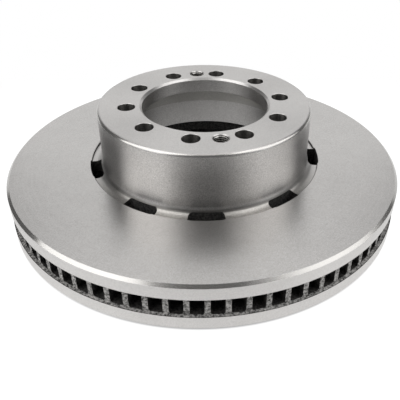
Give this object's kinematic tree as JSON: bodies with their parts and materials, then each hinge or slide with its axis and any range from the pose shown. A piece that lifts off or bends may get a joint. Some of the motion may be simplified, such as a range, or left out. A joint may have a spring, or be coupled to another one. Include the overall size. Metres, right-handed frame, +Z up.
{
  "type": "brake disc",
  "caption": "Ventilated brake disc with a tall hat, a bolting flange round a pilot bore, radial vanes between its friction plates and windows at the hat's foot.",
  "frame": {"origin": "centre of the disc at its lower friction face, on which it rests", "axes": "+Z up along the disc's axis, out of the hat's mounting face; +X to the right as the picture sees the disc, 8.5 degrees before the first bolt hole"},
  "size_m": [0.3769, 0.377, 0.1005],
  "materials": {
    "iron": "turned grey iron on the friction faces, rim, hat and bore; raw casting in the vent space and inside the hat"
  },
  "bodies": {
    "root": {"brake_disc": "iron"}
  },
  "joints": []
}
